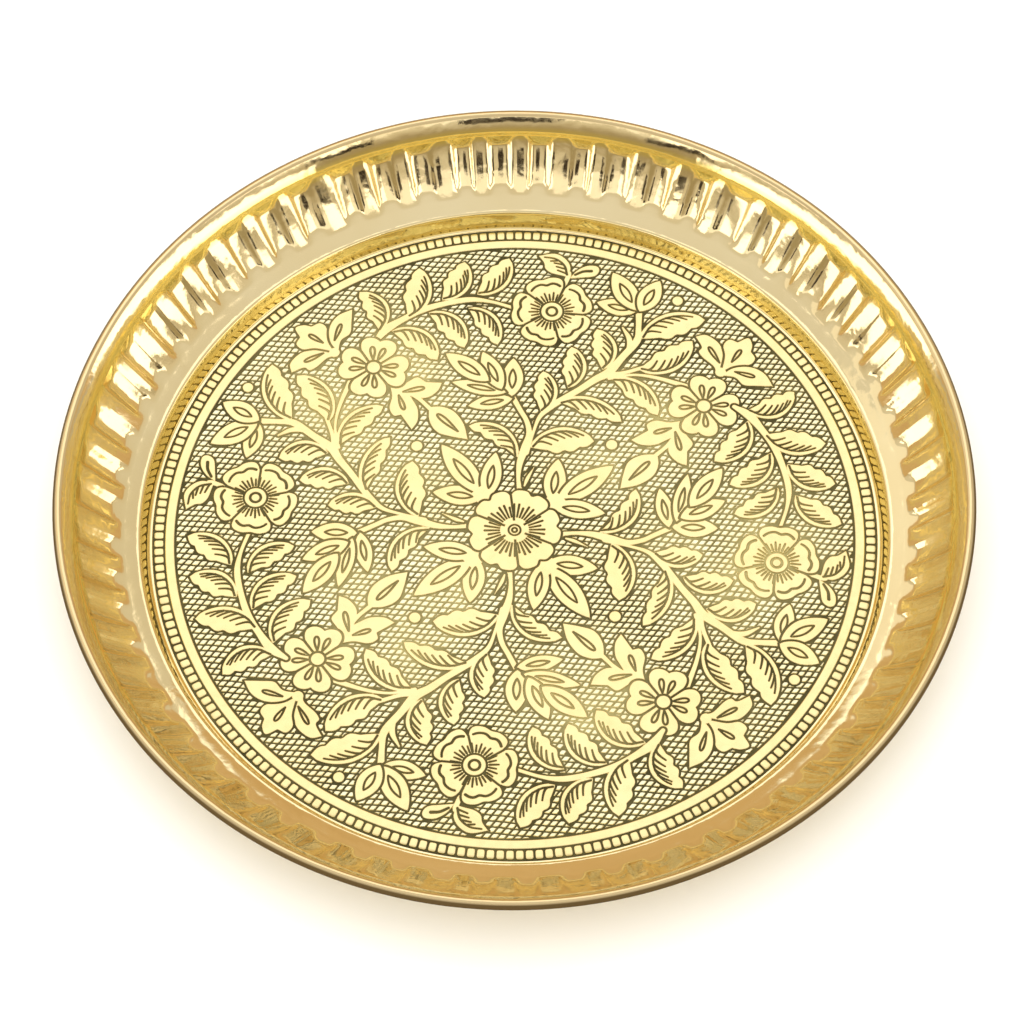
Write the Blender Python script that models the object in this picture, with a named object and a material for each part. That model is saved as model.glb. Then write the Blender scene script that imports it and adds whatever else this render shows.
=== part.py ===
"""A round pressed brass tray with gadrooned walls and a rolled, wired edge.

Two pieces: the pan, one sheet of brass drawn into a shallow dish with a fluted wall and a
curled rim, and the stiffening wire that the curl closes around.
The origin is the middle of the face that the tray stands on, and +Z is up.
"""

import math

import bmesh
import bpy

MM = 0.001

# Driving dimensions, in metres
OUTER_RADIUS = 127.0 * MM
SHEET = 0.7 * MM
CURL_RADIUS = 1.5 * MM
CURL_ANGLES = tuple(math.radians(angle) for angle in (90, 45, 0, -45, -90, -135))
FOOT_BEND_RADIUS = 0.7 * MM
BEND_STEPS = 2
WALL_STEPS = 12

# (radius in mm, slope in degrees): the wall's slope changes evenly between these radii. It
# rises steeply beside the floor, lies almost flat over a plain band, climbs through the
# flutes to a short riser and leaves as the flange that runs into the curl
WALL_SLOPES = (
    (103.0, 70.0),
    (104.45, 70.0),
    (105.3, 22.0),
    (109.2, 16.0),
    (110.2, 44.5),
    (115.0, 50.0),
    (118.6, 53.0),
    (121.2, 58.0),
    (121.3, 68.0),
    (121.65, 68.0),
    (121.8, 60.0),
    (124.351, 50.0),
)

# Where the rows of points stand on the wall, as radii in mm
WALL_ROWS = (103.0, 104.45, 105.3, 109.3, 112.0, 115.7, 119.3, 121.2, 121.65, 121.9, 124.351)

# The flutes are valleys pressed outwards, side by side around the wall, closed at the top
FLUTES = 62
FLUTE_DEPTH = 1.1 * MM
FLUTE_LOW_RADIUS = 109.3 * MM
FLUTE_HIGH_RADIUS = 121.2 * MM
FLUTE_LOW_RUN = 2.7 * MM
FLUTE_HIGH_RUN = 1.9 * MM
FLUTE_PHASE = 0.69

# Points around the tray in a plain row, a fluted row and the rows nearest the middle
COLUMNS = 72
FLUTED_COLUMNS = 6 * FLUTES
CENTRE_COLUMNS = 3
CENTRE_RADIUS = 20.0 * MM

WIRE_GAP = 0.3 * MM
WIRE_RADIUS = CURL_RADIUS - SHEET - WIRE_GAP
WIRE_SIDES = 6

SMOOTH_ANGLE = math.radians(30.0)


def brass(name, colour, roughness):
    """A Principled material for one piece of brass."""
    material = bpy.data.materials.new(name)
    material.use_nodes = True
    shader = material.node_tree.nodes["Principled BSDF"]
    shader.inputs["Base Color"].default_value = (*colour, 1.0)
    shader.inputs["Metallic"].default_value = 1.0
    shader.inputs["Roughness"].default_value = roughness
    return material


def slope_at(radius):
    """The wall's slope, which changes evenly between the radii in WALL_SLOPES."""
    for (near, low), (far, high) in zip(WALL_SLOPES, WALL_SLOPES[1:]):
        share = (radius / MM - near) / (far - near)
        if share <= 1.0:
            return math.radians(low + (high - low) * share)
    return math.radians(WALL_SLOPES[-1][1])


def wall_rows():
    """(radius, height, heading) from the top of the foot bend to the start of the curl."""
    radius = WALL_ROWS[0] * MM
    height = SHEET + FOOT_BEND_RADIUS * (1 - math.cos(slope_at(radius)))
    points = [(radius, height, slope_at(radius))]
    for row in WALL_ROWS[1:]:
        step = (row * MM - radius) / WALL_STEPS
        for _ in range(WALL_STEPS):
            height += step * math.tan(slope_at(radius + step / 2))
            radius += step
        points.append((radius, height, slope_at(radius)))
    return points


def curl_centre():
    """(radius, height) of the middle of the rolled edge, which the flange runs into."""
    _, height, heading = wall_rows()[-1]
    return OUTER_RADIUS - CURL_RADIUS, height - CURL_RADIUS * math.cos(heading)


def profile():
    """The sheet's inner face from the floor's edge to the end of the curl."""
    wall = wall_rows()
    start, _, slope = wall[0]
    points = []
    for step in range(BEND_STEPS):
        heading = slope * step / BEND_STEPS
        reach = start - FOOT_BEND_RADIUS * (math.sin(slope) - math.sin(heading))
        lift = SHEET + FOOT_BEND_RADIUS * (1 - math.cos(heading))
        points.append((reach, lift, heading))
    points += wall
    middle, level = curl_centre()
    for angle in CURL_ANGLES:
        reach = middle + CURL_RADIUS * math.cos(angle)
        lift = level + CURL_RADIUS * math.sin(angle)
        points.append((reach, lift, angle - math.pi / 2))
    return points


def flute_depth(radius, angle):
    """How far the wall is pressed out at this radius and angle."""
    rise = min(1.0, max(0.0, (radius - FLUTE_LOW_RADIUS) / FLUTE_LOW_RUN))
    cap = max(0.0, (FLUTE_HIGH_RADIUS - radius) / FLUTE_HIGH_RUN)
    phase = angle * FLUTES / (2 * math.pi) - FLUTE_PHASE
    wave = 0.5 + 0.5 * math.cos(2 * math.pi * phase)
    return FLUTE_DEPTH * min(cap, wave * rise * rise * (3 - 2 * rise))


def row_columns(radius):
    """Only the rows that the flutes press out of round need many points."""
    fluted = FLUTE_LOW_RADIUS < radius < FLUTE_HIGH_RADIUS
    return FLUTED_COLUMNS if fluted else COLUMNS


def ring(bm, radius, height, heading, columns, shift):
    """A closed row of points on the inner face, or shift below it along the sheet's normal."""
    points = []
    for column in range(columns):
        angle = 2 * math.pi * column / columns
        depth = shift + flute_depth(radius, angle)
        reach = radius + depth * math.sin(heading)
        lift = height - depth * math.cos(heading)
        points.append(
            bm.verts.new((reach * math.cos(angle), reach * math.sin(angle), lift))
        )
    return points


def join_rings(bm, inner, outer):
    """Triangles between two closed rows, which may differ in their number of points."""
    i = 0
    j = 0
    while i < len(inner) or j < len(outer):
        step_inner = (i + 1) / len(inner)
        step_outer = (j + 1) / len(outer)
        here = inner[i % len(inner)]
        there = outer[j % len(outer)]
        if step_outer <= step_inner:
            j += 1
            bm.faces.new((here, there, outer[j % len(outer)]))
        else:
            i += 1
            bm.faces.new((here, there, inner[i % len(inner)]))


def add_object(name, bm, material):
    mesh = bpy.data.meshes.new(name)
    bmesh.ops.recalc_face_normals(bm, faces=bm.faces)
    bm.to_mesh(mesh)
    bm.free()
    mesh.materials.append(material)
    mesh.shade_smooth()
    mesh.set_sharp_from_angle(angle=SMOOTH_ANGLE)
    thing = bpy.data.objects.new(name, mesh)
    bpy.context.scene.collection.objects.link(thing)
    return thing


def make_pan():
    """The whole dish: inner face out to the curl's end, and back along the underside."""
    bm = bmesh.new()
    face = profile()
    rows = [ring(bm, CENTRE_RADIUS, SHEET, 0.0, CENTRE_COLUMNS, 0.0)]
    sides = ((face, 0.0), (face[::-1], SHEET))
    for points, shift in sides:
        for radius, height, heading in points:
            rows.append(ring(bm, radius, height, heading, row_columns(radius), shift))
    rows.append(ring(bm, CENTRE_RADIUS, 0.0, 0.0, CENTRE_COLUMNS, 0.0))
    for inner, outer in zip(rows, rows[1:]):
        join_rings(bm, inner, outer)
    bm.faces.new(rows[0])
    bm.faces.new(rows[-1])
    return add_object("pan", bm, brass("polished_brass", (0.83, 0.63, 0.29), 0.18))


def make_rim_wire():
    """The round wire that the edge of the sheet is rolled around."""
    bm = bmesh.new()
    middle, level = curl_centre()
    rows = []
    for column in range(COLUMNS):
        angle = 2 * math.pi * column / COLUMNS
        row = []
        for side in range(WIRE_SIDES):
            turn = 2 * math.pi * side / WIRE_SIDES
            reach = middle + WIRE_RADIUS * math.cos(turn)
            lift = level + WIRE_RADIUS * math.sin(turn)
            row.append(
                bm.verts.new((reach * math.cos(angle), reach * math.sin(angle), lift))
            )
        rows.append(row)
    for row, following in zip(rows, rows[1:] + rows[:1]):
        for side in range(WIRE_SIDES):
            beside = (side + 1) % WIRE_SIDES
            bm.faces.new((row[side], following[side], following[beside], row[beside]))
    return add_object("rim_wire", bm, brass("drawn_brass", (0.72, 0.52, 0.24), 0.38))


def main():
    for thing in list(bpy.data.objects):
        bpy.data.objects.remove(thing)
    make_pan()
    make_rim_wire()


main()
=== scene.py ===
"""Looks of a round pressed brass tray: stamped floor, beaded border, fluted wall, wired rim.

Plan shapes are drawn in millimetres, with the tray's middle at (0, 0) and +Y away from the
camera. Meshes are made in metres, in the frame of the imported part.
"""

import math

import bpy
import numpy as np
from mathutils import Matrix, Vector
from mathutils.geometry import delaunay_2d_cdt


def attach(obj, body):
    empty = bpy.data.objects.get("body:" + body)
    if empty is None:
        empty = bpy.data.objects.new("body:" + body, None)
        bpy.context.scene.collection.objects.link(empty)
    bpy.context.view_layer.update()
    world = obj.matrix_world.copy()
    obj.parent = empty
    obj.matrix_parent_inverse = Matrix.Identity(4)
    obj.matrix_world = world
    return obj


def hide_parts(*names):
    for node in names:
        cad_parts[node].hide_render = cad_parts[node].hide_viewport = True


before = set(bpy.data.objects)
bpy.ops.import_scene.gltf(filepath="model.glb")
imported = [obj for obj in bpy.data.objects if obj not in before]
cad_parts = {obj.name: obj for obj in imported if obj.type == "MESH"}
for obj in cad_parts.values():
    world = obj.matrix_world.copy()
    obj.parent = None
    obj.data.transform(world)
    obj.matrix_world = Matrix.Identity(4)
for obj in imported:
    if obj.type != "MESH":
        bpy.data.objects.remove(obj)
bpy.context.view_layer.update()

MM = 0.001

# Heights over the face that the tray stands on, in millimetres
SHEET = 0.7
FLOOR_TOP = 0.7
RECESS_TOP = 0.40
RECESS_BASE = 0.30
PLATE_FOOT = 0.37
PLATE_BASE = 0.34
SHOULDER = 0.62

# Radii of the stamped border, in millimetres
GROUND_RADIUS = 95.25
BAND_INNER = 95.7
BAND_OUTER = 98.4
BEAD_INNER = 98.8
BEAD_OUTER = 101.4
BEAD_PITCH_RADIUS = 100.2
BEADS = 240
BEAD_CORNERS = 16
FLOOR_STEP = 101.95
BORDER_COLUMNS = 720
RECESS_COLUMNS = 360
RECESS_MIDDLE = 0.6

# The wall's profile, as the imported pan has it: (radius, slope in degrees), changing evenly
# between these radii, from the bend beside the floor to the curl of the rim
OUTER_RADIUS = 127.0
WALL_SLOPES = ((103.0, 70.0), (104.45, 70.0), (105.3, 22.0), (109.2, 16.0), (110.2, 44.5),
               (115.0, 50.0), (118.6, 53.0), (121.2, 58.0), (121.3, 68.0), (121.65, 68.0),
               (121.8, 60.0), (124.351, 50.0))
FOOT_BEND_RADIUS = 0.7
CURL_RADIUS = 1.5
CURL_END = math.radians(-135.0)

# Rows of the mesh: (from radius, to radius, step) up the wall, then around bend and curl
WALL_ROWS = ((103.0, 105.4, 0.15), (105.4, 109.2, 0.9), (109.2, 118.8, 0.4),
             (118.8, 121.2, 0.16), (121.2, 121.9, 0.1), (121.9, 124.351, 0.35))
BEND_ROWS = 6
CURL_ROWS = 20
BACK_COARSENESS = 3

# Looks by radius: two yellower zones of the wall, a painted reflection of the amber light
# bounced between the walls, the rim's duller lip, and a dark line of painted shade around its
# edge, where the curl turns under
FOOT = (102.4, 105.1)
RISER = (120.2, 122.7)
LIP_RADIUS = 124.2
PAINTED_EDGE_SHADE_RADIUS = 125.95
ZONE_FADE = 0.7
LIP_FADE = 0.5

# The flutes: valleys pressed outwards, side by side, closed at the top
FLUTES = 62
FLUTE_DEPTH = 1.1
FLUTE_LOW_RADIUS = 109.3
FLUTE_HIGH_RADIUS = 121.2
FLUTE_LOW_RUN = 2.8
FLUTE_HIGH_RUN = 1.6
FLUTE_PHASE = 0.69
# a steepness over 0.5 makes flat ridges and valleys
FLANK_STEEPNESS = 0.78
VALLEY_SHARE = 0.46
# hand work, as (size, waves around the tray, start): how far flutes stray from their even
# places, in pitches, and how much their depths differ
FLUTE_STRAY = ((0.05, 7, 1.3), (0.035, 23, 0.0), (0.03, 41, 0.7))
FLUTE_UNEVENNESS = ((0.08, 17, 0.6), (0.08, 29, 2.0))
# points across one flute, and how far they are drawn towards its flanks
FLUTE_COLUMNS = 11
FLANK_BUNCHING = 0.5
COLUMNS = FLUTE_COLUMNS * FLUTES

# The grid that the stamped pattern is drawn on, in millimetres
CELL = 0.125
REACH = 97.0
COUNT = 2 * int(REACH / CELL) + 1
# a field's value far from any shape, how far around shapes and grooves it is worked out, and
# the groove that parts a shape from what lies below
FAR = -9.0
MARGIN = 1.2
GROOVE_MARGIN = 1.0
OUTLINE = 0.40

# The net on the ground: (waves per millimetre along x and y) of its two line families, the
# width of its grooves and the roundness of the corners between them
NET_WAVES = ((0.062, 0.562), (-0.453, 0.344))
NET_GROOVE = 0.34
NET_SOFTNESS = 0.25
NET_OVERLAP = 0.04

# The edges of raised plates: (millimetres inside the outline, height), how far a mesh may
# stray from the outline, and the smallest area that is kept
PATTERN_STEPS = ((0.0, PLATE_FOOT), (0.10, 0.64), (0.22, FLOOR_TOP))
NET_STEPS = ((0.0, PLATE_FOOT), (0.16, SHOULDER))
PATTERN_TOLERANCE = 0.012
NET_TOLERANCE = 0.05
SMALLEST_AREA = 0.02


# ---------------- the pattern's motifs


def curve(points, per_span=8):
    """A Catmull-Rom curve through the points."""
    points = np.array(points, float)
    padded = np.vstack([2 * points[0] - points[1], points, 2 * points[-1] - points[-2]])
    t = np.linspace(0, 1, per_span, endpoint=False)[:, None]
    spans = []
    for a, b, c, d in zip(padded, padded[1:], padded[2:], padded[3:]):
        spans.append(0.5 * (2 * b + (c - a) * t + (2 * a - 5 * b + 4 * c - d) * t**2
                            + (3 * b - a - 3 * c + d) * t**3))
    return np.vstack([*spans, points[-1]])


def beside_line(x, y, ax, ay, bx, by):
    """The share of the line from a to b that lies nearest each point, and the way there."""
    dx = bx - ax
    dy = by - ay
    share = np.clip(((x - ax) * dx + (y - ay) * dy) / (dx * dx + dy * dy + 1e-12), 0, 1)
    return share, x - ax - share * dx, y - ay - share * dy


class Plate:
    """Raised metal as a signed field, the silhouette of all that is laid, the kind of piece at
    each point, and the lines and rings that are still to be cut."""

    def __init__(self, kind=0):
        self.field = np.full((COUNT, COUNT), FAR)
        self.cover = np.full((COUNT, COUNT), FAR)
        self.owner = np.zeros((COUNT, COUNT), int)
        self.kind = kind
        self.lines = []
        self.rings = []

    def window(self, points, margin):
        """The part of the grid around these points, and the x and y of its columns and rows."""
        low = np.floor((points.min(0) - margin + REACH) / CELL)
        high = np.ceil((points.max(0) + margin + REACH) / CELL) + 1
        (left, near), (right, far) = np.clip([low, high], 0, COUNT).astype(int)
        x = np.arange(left, right) * CELL - REACH
        y = np.arange(near, far) * CELL - REACH
        return (slice(near, far), slice(left, right)), x[None, :], y[:, None]

    def around(self, centre, radius):
        """(area, distance) around a point."""
        area, x, y = self.window(np.array([centre]), radius + MARGIN)
        return area, np.hypot(x - centre[0], y - centre[1])

    def polygon(self, points):
        """(area, field) of a filled outline."""
        area, x, y = self.window(points, MARGIN)
        near = np.full((y.shape[0], x.shape[1]), 1e9)
        inside = np.zeros(near.shape, bool)
        for (ax, ay), (bx, by) in zip(points, np.roll(points, -1, axis=0)):
            _, off_x, off_y = beside_line(x, y, ax, ay, bx, by)
            near = np.minimum(near, off_x**2 + off_y**2)
            if ay != by:
                inside ^= ((y >= ay) != (y >= by)) & (x < ax + (y - ay) * (bx - ax) / (by - ay))
        near = np.sqrt(near)
        return area, np.where(inside, near, -near)

    def band(self, points, widths, margin=MARGIN):
        """(area, field) of a line whose width changes along it."""
        area, x, y = self.window(points, margin + np.max(widths))
        field = np.full((y.shape[0], x.shape[1]), -1e9)
        for (ax, ay), (bx, by), wa, wb in zip(points, points[1:], widths, widths[1:]):
            share, off_x, off_y = beside_line(x, y, ax, ay, bx, by)
            field = np.maximum(field, (wa + share * (wb - wa)) / 2 - np.hypot(off_x, off_y))
        return area, field

    def lay(self, area, field, joined):
        """Raise a shape. Unless it is joined, a groove parts it from what is already there."""
        here = self.field[area]
        if not joined:
            here = np.minimum(here, -field - OUTLINE)
        self.owner[area] = np.where(field >= here, self.kind, self.owner[area])
        self.field[area] = np.maximum(here, field)
        self.cover[area] = np.maximum(self.cover[area], field)

    def fill(self, points, joined=False):
        self.lay(*self.polygon(points), joined)

    def shape(self, *runs, joined=False):
        """A filled outline of smooth runs that meet in corners."""
        smooth = np.vstack([curve(run, 6)[:-1] for run in runs])
        self.fill(smooth, joined)

    def stem(self, route, joined=True):
        """A stem through (x, y, width) points."""
        smooth = curve(route, 6)
        self.lay(*self.band(smooth[:, :2], smooth[:, 2]), joined)

    def disc(self, centre, radius, joined=False):
        area, far = self.around(centre, radius)
        self.lay(area, radius - far, joined)

    def line(self, points, width, end=None):
        self.lines.append((points, width, width if end is None else end))

    def cut(self):
        """Cut the lines (points, width, end width) and the rings (centre, radius, width)."""
        for points, width, end in self.lines:
            points = np.asarray(points, float)
            area, field = self.band(points, np.linspace(width, end, len(points)), GROOVE_MARGIN)
            self.field[area] = np.minimum(self.field[area], -field)
        for centre, radius, width in self.rings:
            area, far = self.around(centre, radius)
            self.field[area] = np.minimum(self.field[area], abs(far - radius) - width / 2)


def local(base, tip, side=1.0):
    """A function from (share along, millimetres across) to the tray's plane."""
    base = np.array(base, float)
    along = np.array(tip, float) - base
    across = side * np.array([-along[1], along[0]]) / np.hypot(*along)
    return lambda u, v: base + np.multiply.outer(u, along) + np.multiply.outer(v, across)


def polar(centre, radius, angle):
    return np.stack([centre[0] + radius * np.cos(angle), centre[1] + radius * np.sin(angle)], -1)


def acanthus(plate, base, tip, crown, belly, veins=5):
    """A leaf with one smooth edge, one edge of three lobes, a rib line and comb veins.

    The smooth edge stands crown to the left of the line from base to tip, or to the right
    if crown is negative, and the wavy edge stands belly on the other side.
    """
    place = local(base, tip, np.sign(crown))
    crown = abs(crown)

    def smooth_edge(u):
        return crown * np.sin(np.pi * np.clip(u, 0, 1)) ** 0.6

    def rib(u):
        return (smooth_edge(u) - 1.5) * np.clip((u - 0.02) / 0.14, 0, 1) ** 0.7

    u = np.linspace(0.0, 1.0, 19)
    upper = place(u, smooth_edge(u))
    u = np.linspace(1.0, 0.0, 31)
    scallop = 0.16 * crown * abs(np.sin(np.pi * 3 * np.clip((u - 0.28) / 0.72, 0, 1)))
    lower = place(u, -belly * np.sin(np.pi * u) ** 0.9 - scallop * np.sin(np.pi * u) ** 0.3)
    plate.fill(np.vstack([upper[:-1], lower[:-1]]))
    u = np.linspace(0.06, 0.84, 14)
    plate.line(place(u, rib(u)), 0.42, 0.3)
    length = math.hypot(tip[0] - base[0], tip[1] - base[1])
    for vein in range(veins):
        share = vein / (veins - 1)
        start = 0.13 + 0.46 * share
        run = (3.9 - 0.7 * share) / length
        t = np.linspace(0, 1, 6)
        v = rib(start + 0.5 * run * t) - (1.9 + 0.16 * crown * (1 - share)) * t**1.2
        plate.line(place(start + run * t, v), 0.5, 0.26)


def lens(plate, base, tip, width):
    """A pointed oval leaf with a small oval line inside it."""
    place = local(base, tip)
    u = np.linspace(0, 1, 21)
    half = 0.5 * width * np.sin(np.pi * u**0.92) ** 0.8
    plate.fill(np.vstack([place(u, half)[:-1], place(u[::-1], -half[::-1])[:-1]]))
    t = np.linspace(0, 1, 15)
    along = 0.22 + 0.48 * t
    rim = 0.15 * width * np.sin(np.pi * t) ** 0.8
    loop = np.vstack([place(along, rim), place(along[::-1], -rim[::-1])])
    plate.line(loop, 0.34)


def drop(plate, start, end, width):
    """A closed drop-shaped line, pointed at its start and round at its end."""
    turn = np.linspace(0, 2 * np.pi, 25)
    u = 0.5 - 0.5 * np.cos(turn)
    v = 0.5 * width * np.sin(turn) * np.sin(turn / 2) ** 1.2
    plate.line(local(start, end)(u, v), 0.38)


def petal_ring(plate, centre, edge, middles, spread):
    """Petals as one outline each: edge(share across) gives the radius."""
    for middle in middles:
        s = np.linspace(-1, 1, 33)
        plate.fill(np.vstack([polar(centre, edge(s), middle + s * spread), [centre]]))


def radial(plate, centre, angle, inner, outer, width, end):
    """A straight line away from a flower's middle."""
    plate.line(polar(centre, np.array([inner, outer]), angle), width, end)


def small_flower(plate, centre):
    """Four heart-shaped petals, each with two drop-shaped loops, around a disc."""
    def edge(s):
        heart = 10.6 - 1.5 * (1 - abs(s)) ** 4
        return heart * (1 - 0.34 * abs(s) ** 5.0)

    middles = [np.radians(78.2) + k * np.pi / 2 for k in range(4)]
    petal_ring(plate, centre, edge, middles, np.radians(43.0))
    plate.disc(centre, 2.0)
    for middle in middles:
        for side in (-1, 1):
            a = middle + side * np.radians(15.0)
            drop(plate, polar(centre, 2.7, a), polar(centre, 7.0, a), 1.8)


def rose(plate, centre):
    """Five petals with curled lips around a ring of stamens."""
    def edge(s):
        return (12.0 - 0.6 * np.exp(-(s / 0.22) ** 2)) * (1 - 0.25 * abs(s) ** 8.0)

    middles = np.radians(102.0 + 71.5 * np.arange(5))
    petal_ring(plate, centre, edge, middles, np.radians(35.2))
    for middle in middles:
        s = np.linspace(-0.8, 0.76, 17)
        r = 9.95 - 0.75 * np.exp(-((s + 0.12) / 0.2) ** 2) - 1.5 * abs(s) ** 3
        plate.line(polar(centre, r, middle + s * np.radians(35)), 0.58, 0.42)
    for k in range(30):
        radial(plate, centre, 2 * np.pi * k / 30, 4.0, 6.6 if k % 2 else 6.0, 0.4, 0.26)
    plate.disc(centre, 3.2)
    plate.rings.append((centre, 1.5, 0.5))


def centre_flower(plate):
    """Six notched petals, radial strokes and a double ring."""
    def edge(s):
        return (13.2 - 1.25 * np.exp(-(s / 0.16) ** 2)) * (1 - 0.14 * abs(s) ** 7)

    middle = (0.0, 0.0)
    petals = [np.radians(5 + 60 * k) for k in range(6)]
    petal_ring(plate, middle, edge, petals, np.radians(29.6))
    for k in range(36):
        a = np.radians(5) + 2 * np.pi * (k + 0.5) / 36
        radial(plate, middle, a, 4.3, 8.4 - 1.0 * (k % 3 == 0), 0.26, 0.42)
    plate.disc(middle, 3.2, joined=True)
    plate.rings += [(middle, 1.7, 0.3), (middle, 0.7, 0.34)]


# The curled leaves of a quarter, inner vine first: base, tip, crown, belly, and the veins if
# they are not five
CURLED_LEAVES = (
    ((1.2, 23.6), (-12.9, 34.6), -6.0, -0.6), ((4.6, 27.0), (23.3, 28.7), 5.9, 2.0),
    ((8.2, 38.6), (9.0, 52.8), -4.6, 1.9, 4), ((13.0, 42.2), (31.3, 35.0), 5.0, 0.6),
    ((16.0, 46.6), (17.4, 61.0), -5.0, 1.6, 4), ((26.2, 52.6), (24.8, 67.0), -5.2, 1.6, 4),
    ((28.5, 50.0), (41.7, 36.9), 5.4, 0.9), ((36.4, 52.6), (52.6, 62.3), -6.0, 1.4),
    ((37.2, 63.2), (56.6, 69.4), 5.8, 2.0),
    ((-38.2, 67.0), (-44.4, 81.2), -6.0, 0.6), ((-35.0, 67.4), (-21.4, 57.0), 6.0, 1.0),
    ((-30.0, 71.5), (-26.8, 89.3), -5.4, 2.2), ((-20.2, 77.6), (-13.3, 91.2), -5.4, 1.9),
    ((-10.0, 79.4), (-0.2, 92.2), -5.3, 1.9), ((-24.3, 73.6), (-13.6, 61.0), 5.8, 0.9),
    ((-12.6, 75.0), (-4.0, 61.8), 5.3, 0.9))

# Its stems and twigs, through (x, y, width)
STEMS = (
    ((1.6, 13.0, 1.8), (1.3, 17.0, 1.4), (1.8, 22.0, 2.1), (3.4, 27.0, 2.7), (4.6, 31.5, 2.0),
     (4.0, 35.8, 1.7), (2.2, 39.6, 1.7), (0.0, 44.3, 1.8)),
    ((3.4, 25.5, 2.5), (5.6, 31.5, 1.2), (7.6, 37.0, 1.5), (11.0, 40.6, 2.2), (15.0, 43.4, 2.2),
     (19.5, 46.3, 2.2), (24.0, 49.6, 2.5), (28.0, 52.0, 2.9), (32.0, 57.0, 2.4),
     (36.4, 62.6, 2.5), (37.0, 67.0, 1.9), (37.3, 72.5, 2.2)),
    ((26.5, 51.0, 2.5), (32.0, 51.6, 1.5), (38.0, 53.4, 1.5)),
    ((28.0, 49.8, 1.3), (35.0, 50.9, 1.1), (42.0, 49.7, 1.4), (50.0, 46.8, 1.8)),
    ((31.6, 56.0, 1.0), (33.8, 59.5, 1.7), (34.2, 63.2, 1.8), (32.4, 67.2, 0.8)),
    ((-39.6, 63.6, 1.5), (-36.5, 67.8, 2.9), (-31.5, 71.3, 2.2), (-26.0, 74.4, 2.3),
     (-19.0, 76.6, 2.0), (-12.0, 77.8, 2.0), (-6.0, 77.0, 1.3), (1.0, 74.6, 1.3)))

# Its oval leaves: base, tip, width
OVAL_LEAVES = (
    ((0.2, 43.6), (-13.0, 41.2), 5.0), ((-0.2, 44.2), (0.5, 57.4), 6.4),
    ((-1.6, 45.6), (-17.6, 49.5), 4.8), ((-3.0, 46.6), (-8.5, 59.8), 6.0),
    ((-6.6, 49.6), (-19.2, 59.4), 6.4), ((36.6, 72.6), (25.0, 76.2), 5.6),
    ((36.8, 73.0), (30.0, 86.6), 7.0), ((37.4, 72.6), (43.9, 83.4), 6.6),
    ((10.6, 8.6), (12.8, 23.2), 6.4), ((11.8, 8.8), (28.6, 20.6), 7.2),
    ((10.4, 7.8), (25.8, 4.9), 6.0))


def vines(plate):
    """The two stems of a quarter, with their curled and oval leaves."""
    for leaf in CURLED_LEAVES:
        acanthus(plate, *leaf)
    for stem in STEMS:
        plate.stem(stem)
    plate.stem(((3.0, 14.4, 0.8), (3.9, 16.8, 1.3), (5.8, 20.4, 0.4)), joined=False)
    for leaf in OVAL_LEAVES:
        lens(plate, *leaf)
    plate.shape(((8.0, 8.6), (9.6, 11.0), (11.6, 12.4), (13.0, 11.4), (15.0, 8.6), (13.0, 6.4),
                 (9.6, 6.2), (8.0, 8.6)), joined=True)


# The tulips and buds on both sides of the small flower: whether a shape is joined to the last
# one, then the smooth runs of its outline
TULIPS = (
    (False, ((58.6, 50.6), (58.3, 53.2), (55.2, 56.4), (54.1, 58.6), (55.0, 60.2), (53.3, 63.8)),
     ((53.3, 63.8), (56.6, 64.3), (60.0, 61.6), (61.3, 58.2), (61.2, 54.4), (60.6, 50.4))),
    (False, ((60.6, 52.4), (61.6, 57.0), (61.3, 60.6), (63.2, 62.6), (65.6, 61.6)),
     ((65.6, 61.6), (68.8, 63.0), (69.9, 60.6), (69.4, 58.2)),
     ((69.4, 58.2), (70.5, 55.8), (68.9, 53.7), (65.0, 53.4), (60.6, 51.6))),
    (False, ((60.0, 50.2), (64.0, 52.8), (69.0, 53.0), (73.0, 50.6), (75.2, 46.2)),
     ((75.2, 46.2), (70.4, 46.4), (66.6, 46.8), (64.2, 49.4), (60.0, 50.2))),
    (False, ((48.8, 35.4), (45.0, 34.8), (41.0, 35.5), (38.3, 34.2), (38.5, 32.1)),
     ((38.5, 32.1), (36.0, 30.6), (33.4, 29.0)),
     ((33.4, 29.0), (36.4, 27.2), (40.4, 27.1), (43.4, 28.4), (47.0, 30.4)),
     ((47.0, 30.4), (49.0, 33.0), (48.8, 35.4))),
    (True, ((46.4, 33.6), (44.4, 28.0), (44.2, 24.4), (46.4, 21.4), (49.4, 20.0)),
     ((49.4, 20.0), (49.7, 24.8)),
     ((49.7, 24.8), (51.4, 27.4), (49.6, 30.6), (48.2, 33.6), (46.4, 33.6))),
    (True, ((41.2, 24.2), (36.4, 24.0), (32.6, 21.8), (31.0, 17.8), (29.9, 12.8)),
     ((29.9, 12.8), (35.4, 14.0), (39.6, 16.8), (41.3, 20.4), (41.2, 24.2))))

# The drop-shaped lines in them: start, end, width
TULIP_DROPS = (
    ((60.0, 54.6), (57.2, 60.0), 1.5), ((63.6, 54.8), (66.4, 58.8), 1.6),
    ((64.4, 51.4), (69.9, 49.6), 1.5), ((45.2, 32.7), (40.4, 31.2), 1.6),
    ((46.4, 31.4), (47.6, 25.4), 1.7), ((32.8, 15.8), (38.6, 21.6), 1.9))


def tulips(plate):
    for joined, *runs in TULIPS:
        plate.shape(*runs, joined=joined)
    plate.disc((60.2, 51.4), 1.7, joined=True)
    plate.stem(((46.6, 29.6, 2.4), (43.5, 26.4, 1.5), (40.6, 23.8, 1.6)))
    for line in TULIP_DROPS:
        drop(plate, *line)


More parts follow.
